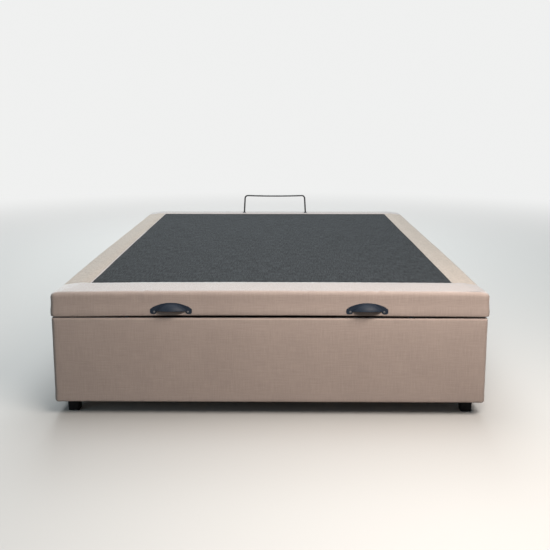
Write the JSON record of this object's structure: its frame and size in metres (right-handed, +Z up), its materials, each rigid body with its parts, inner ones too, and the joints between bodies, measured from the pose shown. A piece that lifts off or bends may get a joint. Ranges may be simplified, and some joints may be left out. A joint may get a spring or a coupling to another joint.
{
  "type": "storage bed base",
  "caption": "Upholstered storage bed base: a fabric-covered box on short legs, with a lift-up lid on gas struts, cup pulls, an anti-slip panel and a wire mattress retainer.",
  "frame": {"origin": "on the floor under the middle of the whole object, handles and hinges included", "axes": "+Z up, +Y from the foot end with the handles to the head end with the hinges, +X across the bed"},
  "size_m": [1.38, 1.915, 0.5145],
  "materials": {
    "cover_fabric": "woven matt",
    "panel_fabric": "woven matt with a grippy face",
    "foam": "soft",
    "timber": "planed, unfinished",
    "board": "sawn board, unfinished",
    "black_plastic": "satin moulded",
    "black_steel": "powder coated, semi-gloss",
    "bright_steel": "zinc plated",
    "polished_rod": "polished"
  },
  "bodies": {
    "base": {"box_bumpers": "black_plastic", "box_cover": "cover_fabric", "box_foot_board": "board", "box_hardware_screws": "bright_steel", "box_head_board": "board", "box_side_board_left": "board", "box_side_board_right": "board", "corner_post_foot_left": "timber", "corner_post_foot_right": "timber", "corner_post_head_left": "timber", "corner_post_head_right": "timber", "floor_batten_foot": "timber", "floor_batten_foot_quarter": "timber", "floor_batten_head": "timber", "floor_batten_head_quarter": "timber", "floor_batten_middle": "timber", "floor_panel_foot": "board", "floor_panel_head": "board", "hinge_box_leaves": "bright_steel", "hinge_pins": "bright_steel", "leg_bolts": "bright_steel", "leg_foot_left": "black_plastic", "leg_foot_right": "black_plastic", "leg_head_left": "black_plastic", "leg_head_right": "black_plastic", "leg_middle_centre": "black_plastic", "leg_middle_left": "black_plastic", "leg_middle_right": "black_plastic", "leg_tee_nuts": "bright_steel", "strut_box_bracket_left": "bright_steel", "strut_box_bracket_right": "bright_steel"},
    "lid": {"anti_slip_panel": "panel_fabric", "handle_left": "black_plastic", "handle_right": "black_plastic", "handle_screws": "bright_steel", "hinge_lid_leaves": "bright_steel", "lid_cover": "cover_fabric", "lid_deck": "board", "lid_foam": "foam", "lid_hardware_screws": "bright_steel", "lid_rail_foot": "timber", "lid_rail_head": "timber", "lid_rail_left": "timber", "lid_rail_right": "timber", "lid_slat_1": "timber", "lid_slat_2": "timber", "lid_slat_3": "timber", "lid_slat_4": "timber", "mattress_retainer": "black_steel", "retainer_batten": "timber", "retainer_grommets": "black_plastic", "retainer_nuts": "bright_steel", "strut_lid_bracket_left": "bright_steel", "strut_lid_bracket_right": "bright_steel"},
    "cylinder_left": {"strut_cylinder_left": "black_steel", "strut_gland_left": "black_plastic"},
    "rod_left": {"strut_rod_left": "polished_rod"},
    "cylinder_right": {"strut_cylinder_right": "black_steel", "strut_gland_right": "black_plastic"},
    "rod_right": {"strut_rod_right": "polished_rod"}
  },
  "joints": [
    {"name": "lid_lift", "type": "hinge", "parent": "base", "child": "lid", "pos_m": [0, 0.9525, 0.333], "axis": [-1, 0, 0], "range_deg": [0, 45]},
    {"name": "cylinder_pivot_left", "type": "hinge", "parent": "base", "child": "cylinder_left", "pos_m": [-0.6505, 0.7935, 0.11], "axis": [-1, 0, 0], "range_deg": [0, 22.5]},
    {"name": "rod_pivot_left", "type": "hinge", "parent": "lid", "child": "rod_left", "pos_m": [-0.6505, 0.68065, 0.36625], "axis": [1, 0, 0], "range_deg": [0, 22.5]},
    {"name": "cylinder_pivot_right", "type": "hinge", "parent": "base", "child": "cylinder_right", "pos_m": [0.6505, 0.7935, 0.11], "axis": [-1, 0, 0], "range_deg": [0, 22.5]},
    {"name": "rod_pivot_right", "type": "hinge", "parent": "lid", "child": "rod_right", "pos_m": [0.6505, 0.68065, 0.36625], "axis": [1, 0, 0], "range_deg": [0, 22.5]}
  ],
  "couplings": [
    {"joint": "cylinder_pivot_left", "follows": "lid_lift", "ratio": 0.5},
    {"joint": "rod_pivot_left", "follows": "lid_lift", "ratio": 0.5},
    {"joint": "cylinder_pivot_right", "follows": "lid_lift", "ratio": 0.5},
    {"joint": "rod_pivot_right", "follows": "lid_lift", "ratio": 0.5}
  ]
}
